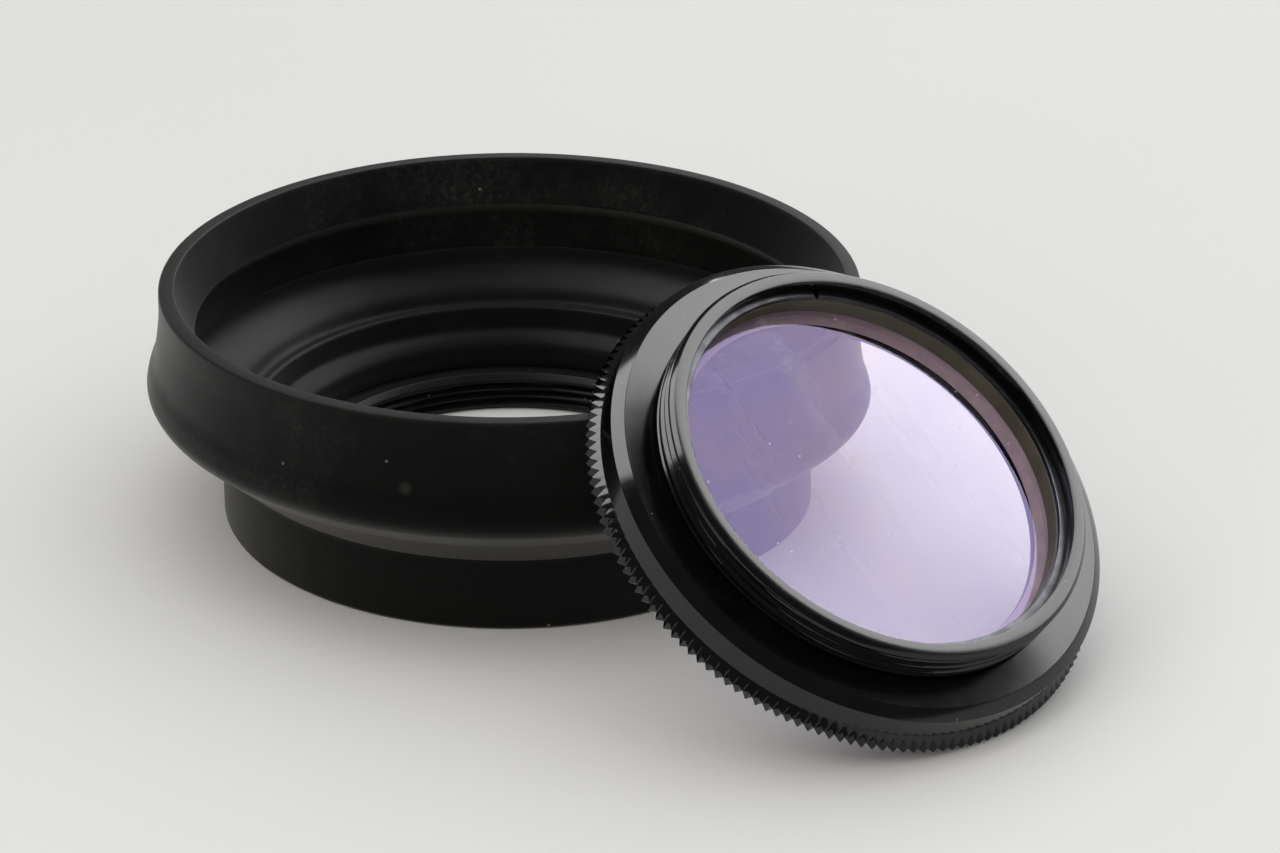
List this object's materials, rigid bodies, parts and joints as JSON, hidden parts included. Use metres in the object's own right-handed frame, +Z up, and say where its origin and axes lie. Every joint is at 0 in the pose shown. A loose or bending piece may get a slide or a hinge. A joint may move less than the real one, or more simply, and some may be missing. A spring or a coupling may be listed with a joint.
{
  "type": "barlow lens cell with rubber hood",
  "caption": "Knurled screw-in lens cell with coated glass and a split retaining ring, leaning on its fold-down round rubber hood.",
  "frame": {"origin": "on the hood's axis, at the bottom face of the threaded ring in its base, level with the table", "axes": "+Z up along the hood's axis; the lens cell leans towards +X and -Y, its threaded face turned the same way"},
  "size_m": [0.0619, 0.0639, 0.0229],
  "materials": {
    "rubber": "matte moulded black rubber",
    "black_anodised": "satin black anodised",
    "coated_glass": "clear, violet anti-reflection coating",
    "spring_steel": "blackened satin",
    "olive_anodised": "matte olive anodised"
  },
  "bodies": {
    "hood_base": {"hood_collar": "rubber", "base_thread_ring": "black_anodised"},
    "hood_middle": {"hood_fold": "rubber"},
    "hood_front": {"hood_front_band": "rubber"},
    "lens_cell": {"cell_body": "black_anodised", "front_element": "coated_glass", "rear_element": "coated_glass", "spacer_ring": "olive_anodised", "snap_ring": "spring_steel"}
  },
  "joints": [
    {"name": "hood_front_slide", "type": "slide", "parent": "hood_base", "child": "hood_front", "axis": [0, 0, -1], "range_m": [0, 0.0072]},
    {"name": "hood_fold_slide", "type": "slide", "parent": "hood_base", "child": "hood_middle", "axis": [0, 0, -1], "range_m": [0, 0.00505]},
    {"name": "cell_lift", "type": "slide", "parent": "hood_base", "child": "lens_cell", "axis": [0, 0, 1], "range_m": [0, 0.03]}
  ],
  "couplings": [
    {"joint": "hood_fold_slide", "follows": "hood_front_slide", "ratio": 0.7}
  ]
}
